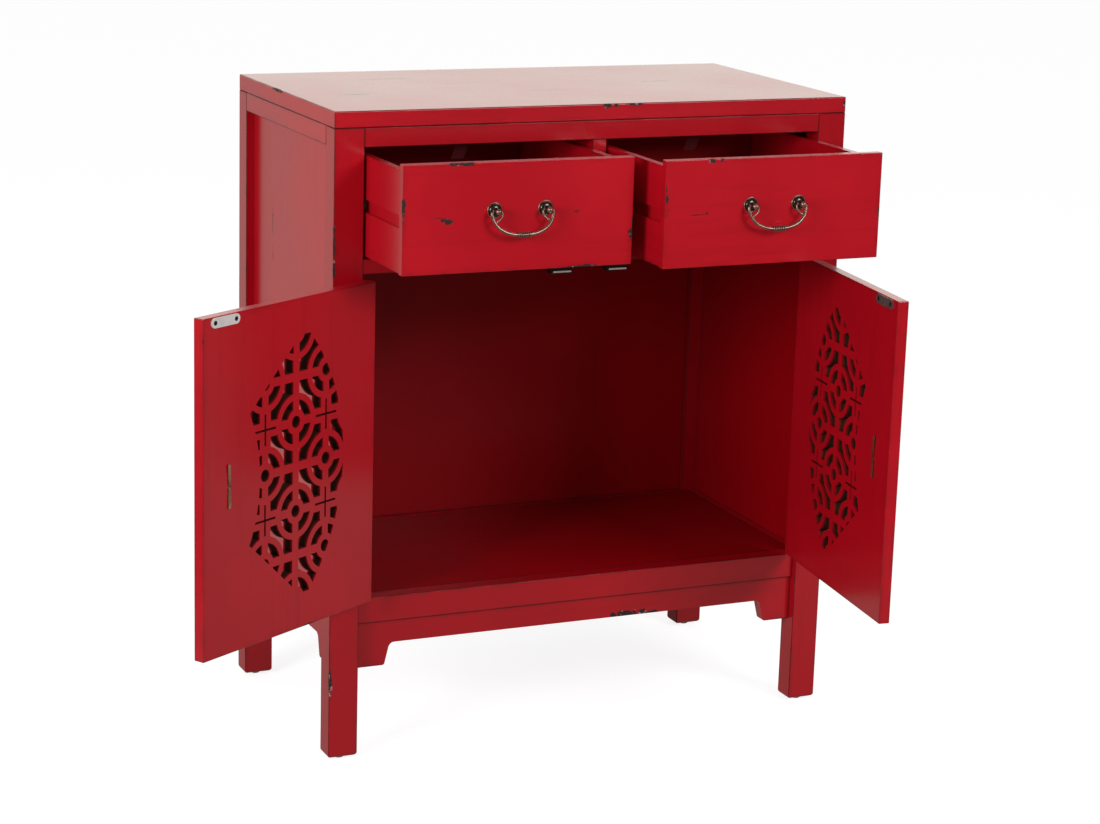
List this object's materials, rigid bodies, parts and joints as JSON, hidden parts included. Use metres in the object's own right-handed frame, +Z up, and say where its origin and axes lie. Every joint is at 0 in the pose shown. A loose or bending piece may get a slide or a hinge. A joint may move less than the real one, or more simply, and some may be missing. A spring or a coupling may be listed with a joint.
{
  "type": "entryway cabinet",
  "caption": "Free-standing red lacquered wood entryway cabinet with drawers on grooved runners above pierced lattice doors, bail pulls, aprons and post legs.",
  "frame": {"origin": "centre of the cabinet body's footprint, on the floor under the leg glides", "axes": "+X to the right seen from the front, +Y to the back (the front faces -Y), +Z up"},
  "size_m": [0.8972, 0.6606, 0.8],
  "materials": {
    "red_lacquer": "semi-gloss red lacquer, worn through to dark wood at the edges",
    "red_interior": "red lacquer, satin, on inner panels",
    "runner_wood": "bare hardwood",
    "antique_brass": "antique brass, darkened in the hollows",
    "split_pin_brass": "dull brass wire",
    "hinge_brass": "dull brass plate",
    "zinc_steel": "zinc plated steel",
    "dark_screws": "black oxide screws",
    "catch_plastic": "brown plastic case",
    "stop_strip": "pale translucent plastic strip",
    "glide_nylon": "white nylon"
  },
  "bodies": {
    "carcass": {"back_panel": "red_interior", "cabinet_floor": "red_interior", "carcass_screws": "dark_screws", "catch_housings": "catch_plastic", "catch_pole_plates": "zinc_steel", "drawer_divider": "red_lacquer", "drawer_partition": "red_interior", "drawer_runners": "runner_wood", "drawer_stops": "stop_strip", "front_apron": "red_lacquer", "front_left_post": "red_lacquer", "front_right_post": "red_lacquer", "front_top_rail": "red_lacquer", "hinge_pins": "hinge_brass", "hinge_post_leaves": "hinge_brass", "left_apron": "red_lacquer", "left_bottom_rail": "red_lacquer", "left_side_panel": "red_lacquer", "left_top_rail": "red_lacquer", "leg_glides": "glide_nylon", "lower_front_rail": "red_lacquer", "mid_rail": "red_lacquer", "rear_bottom_rail": "red_interior", "rear_left_post": "red_lacquer", "rear_right_post": "red_lacquer", "rear_top_rail": "red_interior", "right_apron": "red_lacquer", "right_bottom_rail": "red_lacquer", "right_side_panel": "red_lacquer", "right_top_rail": "red_lacquer", "top_panel": "red_lacquer"},
    "left_door": {"left_door_panel": "red_lacquer", "left_door_screws": "dark_screws", "left_hinge_leaves": "hinge_brass", "left_pull_plate": "antique_brass", "left_split_pin": "split_pin_brass", "left_strike_plate": "zinc_steel"},
    "right_door": {"right_door_panel": "red_lacquer", "right_door_screws": "dark_screws", "right_hinge_leaves": "hinge_brass", "right_pull_plate": "antique_brass", "right_split_pin": "split_pin_brass", "right_strike_plate": "zinc_steel"},
    "left_pull": {"left_pull_ring": "antique_brass"},
    "right_pull": {"right_pull_ring": "antique_brass"},
    "left_drawer": {"left_bail_mounts": "antique_brass", "left_drawer_back": "red_interior", "left_drawer_bottom": "red_interior", "left_drawer_front": "red_lacquer", "left_drawer_left_side": "red_lacquer", "left_drawer_right_side": "red_lacquer"},
    "right_drawer": {"right_bail_mounts": "antique_brass", "right_drawer_back": "red_interior", "right_drawer_bottom": "red_interior", "right_drawer_front": "red_lacquer", "right_drawer_left_side": "red_lacquer", "right_drawer_right_side": "red_lacquer"},
    "left_bail": {"left_bail": "antique_brass"},
    "right_bail": {"right_bail": "antique_brass"}
  },
  "joints": [
    {"name": "left_door_hinge", "type": "hinge", "parent": "carcass", "child": "left_door", "pos_m": [-0.3012, -0.1835, 0.405], "axis": [0, 0, -1], "range_deg": [-149.5, 28.5]},
    {"name": "right_door_hinge", "type": "hinge", "parent": "carcass", "child": "right_door", "pos_m": [0.3012, -0.1835, 0.405], "axis": [0, 0, 1], "range_deg": [-83.3, 94.7]},
    {"name": "left_drawer_slide", "type": "slide", "parent": "carcass", "child": "left_drawer", "axis": [0, -1, 0], "range_m": [-0.12, 0.147]},
    {"name": "right_drawer_slide", "type": "slide", "parent": "carcass", "child": "right_drawer", "axis": [0, -1, 0], "range_m": [-0.16, 0.107]},
    {"name": "left_bail_hinge", "type": "hinge", "parent": "left_drawer", "child": "left_bail", "pos_m": [-0.15575, -0.308, 0.6983], "axis": [-1, 0, 0], "range_deg": [-18, 100]},
    {"name": "right_bail_hinge", "type": "hinge", "parent": "right_drawer", "child": "right_bail", "pos_m": [0.15575, -0.348, 0.6983], "axis": [-1, 0, 0], "range_deg": [-18, 100]},
    {"name": "left_pull_hinge", "type": "hinge", "parent": "left_door", "child": "left_pull", "pos_m": [-0.52472, -0.30982, 0.4047], "axis": [0.8616, 0.5075, 0], "range_deg": [-6, 85]},
    {"name": "right_pull_hinge", "type": "hinge", "parent": "right_door", "child": "right_pull", "pos_m": [0.27582, -0.43898, 0.4047], "axis": [-0.1167, -0.9932, 0], "range_deg": [-6, 85]}
  ]
}
